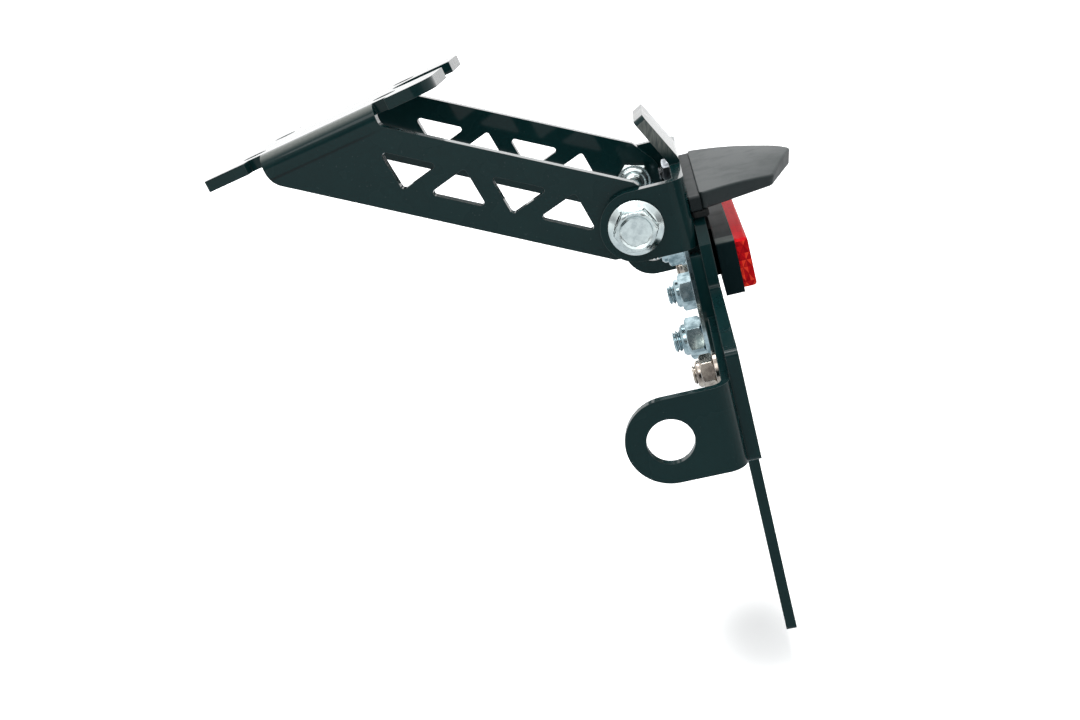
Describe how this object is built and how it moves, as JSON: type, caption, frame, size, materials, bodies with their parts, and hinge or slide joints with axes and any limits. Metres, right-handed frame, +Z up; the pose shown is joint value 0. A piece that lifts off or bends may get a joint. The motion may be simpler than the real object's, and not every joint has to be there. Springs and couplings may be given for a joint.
{
  "type": "motorcycle tail tidy",
  "caption": "Tail tidy: folded lattice-arm bracket with a tilting carrier for a licence plate holder, indicator brackets, plate light and reflector.",
  "frame": {"origin": "middle of the mounting face on the tail bracket's top, between its four holes", "axes": "+X rearwards along the bike, +Y to the bike's right, +Z up; the mounting face rises rearwards"},
  "size_m": [0.1616, 0.176, 0.1568],
  "materials": {
    "powder_coat": "satin",
    "zinc_plate": "satin",
    "stainless": "satin",
    "light_plastic": "matt",
    "clear_lens": "gloss",
    "board_white": "matt",
    "black_zinc": "satin",
    "reflector_black": "satin",
    "reflector_red": "gloss"
  },
  "bodies": {
    "bracket": {"tail_bracket": "powder_coat", "left_pivot_bolt": "zinc_plate", "right_pivot_bolt": "zinc_plate", "left_pivot_nut": "zinc_plate", "right_pivot_nut": "zinc_plate"},
    "carrier": {"plate_carrier": "powder_coat", "left_backing_strip": "zinc_plate", "right_backing_strip": "zinc_plate", "carrier_bolts": "zinc_plate", "carrier_nuts": "zinc_plate", "plate_holder": "powder_coat", "left_indicator_bracket": "powder_coat", "right_indicator_bracket": "powder_coat", "left_bracket_bolt": "stainless", "right_bracket_bolt": "stainless", "left_bracket_washer": "stainless", "right_bracket_washer": "stainless", "left_bracket_nut": "stainless", "right_bracket_nut": "stainless", "light_base": "light_plastic", "light_board": "board_white", "light_lens": "clear_lens", "light_hood": "light_plastic", "light_nuts": "black_zinc", "reflector_housing": "reflector_black", "reflector_lens": "reflector_red", "reflector_nut": "zinc_plate"}
  },
  "joints": [
    {"name": "plate_tilt", "type": "hinge", "parent": "bracket", "child": "carrier", "pos_m": [0.0843, 0, -0.0219], "axis": [0, 1, 0], "range_deg": [-15, 15]}
  ]
}
